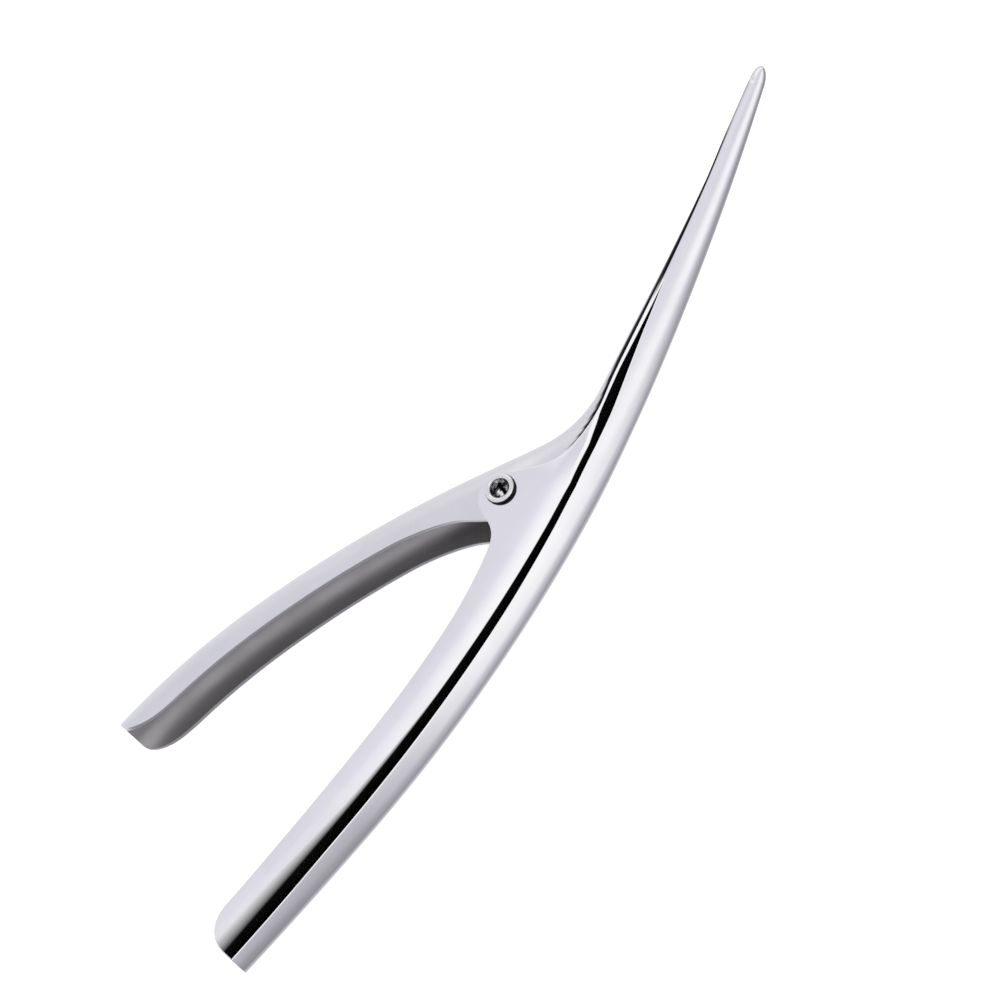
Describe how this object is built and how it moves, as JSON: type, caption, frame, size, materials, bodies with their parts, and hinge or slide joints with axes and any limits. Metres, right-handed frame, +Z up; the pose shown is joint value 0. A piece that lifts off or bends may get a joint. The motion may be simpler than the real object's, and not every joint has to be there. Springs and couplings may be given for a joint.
{
  "type": "lobster and shrimp shell opener",
  "caption": "Sprung steel shell opener whose pointed beak spreads apart when its two handles are squeezed together.",
  "frame": {"origin": "on the pivot axis, at the flat land of the rivet's pressed head, which is the lowest point as the tool lies on its side", "axes": "+Z up along the pivot axis to the rivet's rolled end, +X along the long lever to the beak's tip, +Y towards the second lever"},
  "size_m": [0.1891, 0.0595, 0.0164],
  "materials": {
    "polished_sheet": "mirror-polished stainless sheet",
    "satin_sheet": "satin stainless sheet",
    "rivet_steel": "bright turned steel",
    "spring_wire": "drawn spring wire"
  },
  "bodies": {
    "long_lever": {"main_lever": "polished_sheet", "pivot_rivet": "rivet_steel", "torsion_spring": "spring_wire"},
    "short_lever": {"second_lever": "satin_sheet"}
  },
  "joints": [
    {"name": "squeeze", "type": "hinge", "parent": "long_lever", "child": "short_lever", "pos_m": [0, 0, 0.0083], "axis": [0, 0, 1], "range_deg": [0, 26], "stiffness_Nm_per_rad": 0.8, "springref_deg": -17.19, "deforming": ["torsion_spring"]}
  ]
}
